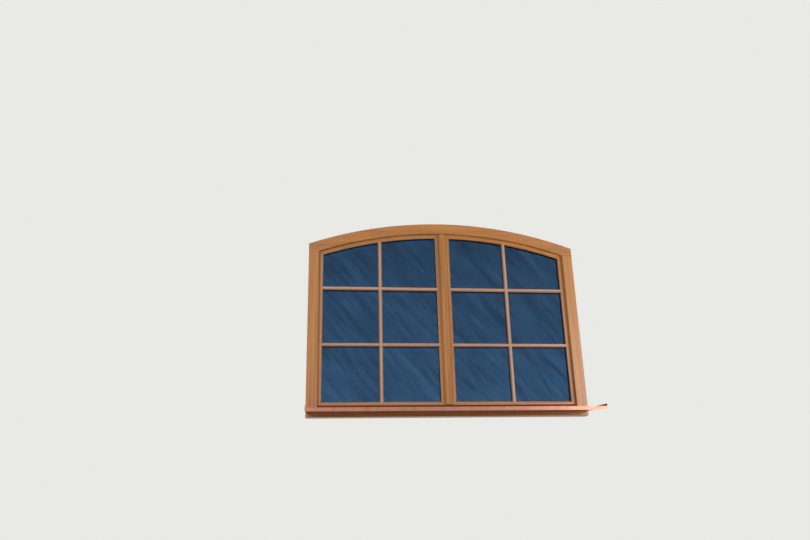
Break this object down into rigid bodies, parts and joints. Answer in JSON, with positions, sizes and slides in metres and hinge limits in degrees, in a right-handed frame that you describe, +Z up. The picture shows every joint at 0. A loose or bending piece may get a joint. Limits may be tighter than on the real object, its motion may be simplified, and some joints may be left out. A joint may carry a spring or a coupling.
{
  "type": "segmental-arched timber window",
  "caption": "Arched timber window: fixed frame, two inward-opening sashes with glazing bars and insulating glass, lock, flush bolts and a sloping copper sill.",
  "frame": {"origin": "centre of the frame's underside, on the frame's outer face", "axes": "+X to the right seen from outside, +Y into the room, +Z up"},
  "size_m": [2.012, 0.4913, 1.4779],
  "materials": {
    "timber": "clear brown glaze",
    "glass": "coated insulating glass",
    "spacer": "dark brown spacer",
    "seal": "matt rubber",
    "copper": "brown weathered copper sheet",
    "rail": "dark bronze anodised",
    "steel": "zinc plated",
    "handle": "satin anodised"
  },
  "bodies": {
    "frame": {"frame_jamb_left": "timber", "frame_jamb_right": "timber", "frame_head": "timber", "frame_bottom_rail": "timber", "rain_rail": "rail", "rain_rail_end_caps": "rail", "copper_sill": "copper", "left_hinge_frame_parts": "steel", "right_hinge_frame_parts": "steel", "upper_bolt_plate": "steel", "lower_bolt_plate": "steel"},
    "active_sash": {"active_hinge_stile": "timber", "active_meeting_stile": "timber", "active_top_rail": "timber", "active_bottom_rail": "timber", "active_outer_upright_bar": "timber", "active_outer_cross_bars": "timber", "active_inner_upright_bar": "timber", "active_inner_cross_bars": "timber", "active_glazing_beads": "timber", "active_outer_pane": "glass", "active_inner_pane": "glass", "active_glass_spacer": "spacer", "active_glazing_seals": "seal", "active_overlap_seal": "seal", "active_hinge_parts": "steel", "active_lock_faceplate": "steel", "active_lock_case": "steel", "handle_rosette": "handle"},
    "passive_sash": {"passive_hinge_stile": "timber", "passive_meeting_stile": "timber", "passive_top_rail": "timber", "passive_bottom_rail": "timber", "passive_outer_upright_bar": "timber", "passive_outer_cross_bars": "timber", "passive_inner_upright_bar": "timber", "passive_inner_cross_bars": "timber", "passive_glazing_beads": "timber", "passive_outer_pane": "glass", "passive_inner_pane": "glass", "passive_glass_spacer": "spacer", "passive_glazing_seals": "seal", "passive_overlap_seal": "seal", "passive_hinge_parts": "steel", "outer_cover_strip": "timber", "cam_strikers": "steel", "upper_bolt_housing": "steel", "lower_bolt_housing": "steel"},
    "handle": {"handle_lever": "handle", "handle_spindle": "steel"},
    "drive_rod": {"drive_rod": "steel", "locking_cams": "steel"},
    "upper_bolt": {"upper_bolt": "steel"},
    "lower_bolt": {"lower_bolt": "steel"}
  },
  "joints": [
    {"name": "active_swing", "type": "hinge", "parent": "frame", "child": "active_sash", "pos_m": [-0.977, 0.08, 0], "axis": [0, 0, 1], "range_deg": [0, 100]},
    {"name": "passive_swing", "type": "hinge", "parent": "frame", "child": "passive_sash", "pos_m": [0.977, 0.08, 0], "axis": [0, 0, -1], "range_deg": [0, 90]},
    {"name": "handle_turn", "type": "hinge", "parent": "active_sash", "child": "handle", "pos_m": [-0.021, 0.09, 0.62], "axis": [0, 1, 0], "range_deg": [0, 90]},
    {"name": "rod_slide", "type": "slide", "parent": "active_sash", "child": "drive_rod", "axis": [0, 0, 1], "range_m": [0, 0.018]},
    {"name": "upper_bolt_slide", "type": "slide", "parent": "passive_sash", "child": "upper_bolt", "axis": [0, 0, -1], "range_m": [0, 0.018]},
    {"name": "lower_bolt_slide", "type": "slide", "parent": "passive_sash", "child": "lower_bolt", "axis": [0, 0, 1], "range_m": [0, 0.018]}
  ],
  "couplings": [
    {"joint": "passive_swing", "follows": "active_swing", "ratio": 0.9},
    {"joint": "rod_slide", "follows": "handle_turn", "m_per_rad": 0.011459}
  ]
}
